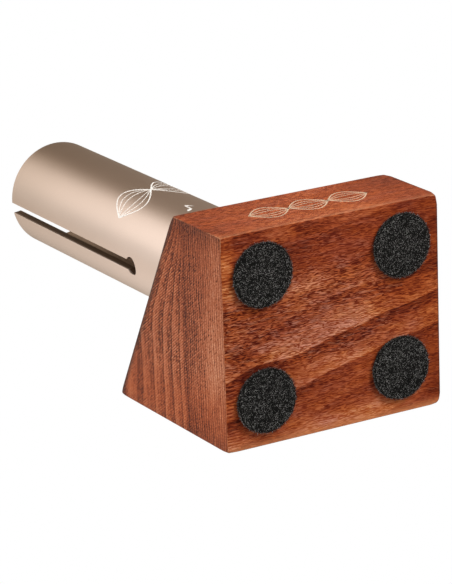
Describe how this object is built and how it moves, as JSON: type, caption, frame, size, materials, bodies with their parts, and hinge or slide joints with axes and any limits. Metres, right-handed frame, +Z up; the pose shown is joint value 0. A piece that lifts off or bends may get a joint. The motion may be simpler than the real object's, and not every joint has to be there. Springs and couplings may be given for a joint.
{
  "type": "wah-wah tube",
  "caption": "Slotted metal tube, open at the top, glued upright into a sloped wooden block on felt feet; struck with a mallet and shaded by hand for a wavering tone.",
  "frame": {"origin": "under the middle of the wooden block, on the plane that the felt feet stand on", "axes": "+Z up along the tube to its open mouth, -Y towards the low front of the block, +X to the right seen from the front"},
  "size_m": [0.106, 0.0932, 0.2504],
  "materials": {
    "wood": "oiled, satin, grain across the width",
    "metal": "blasted and anodised, champagne, satin",
    "felt": "pressed felt, charcoal",
    "adhesive": "thin adhesive film",
    "glue": "cured glue line"
  },
  "bodies": {
    "root": {"base_block": "wood", "tube": "metal", "tube_glue_sleeve": "glue", "felt_pad_front_left": "felt", "felt_pad_front_right": "felt", "felt_pad_back_left": "felt", "felt_pad_back_right": "felt", "pad_adhesive_front_left": "adhesive", "pad_adhesive_front_right": "adhesive", "pad_adhesive_back_left": "adhesive", "pad_adhesive_back_right": "adhesive"}
  },
  "joints": []
}
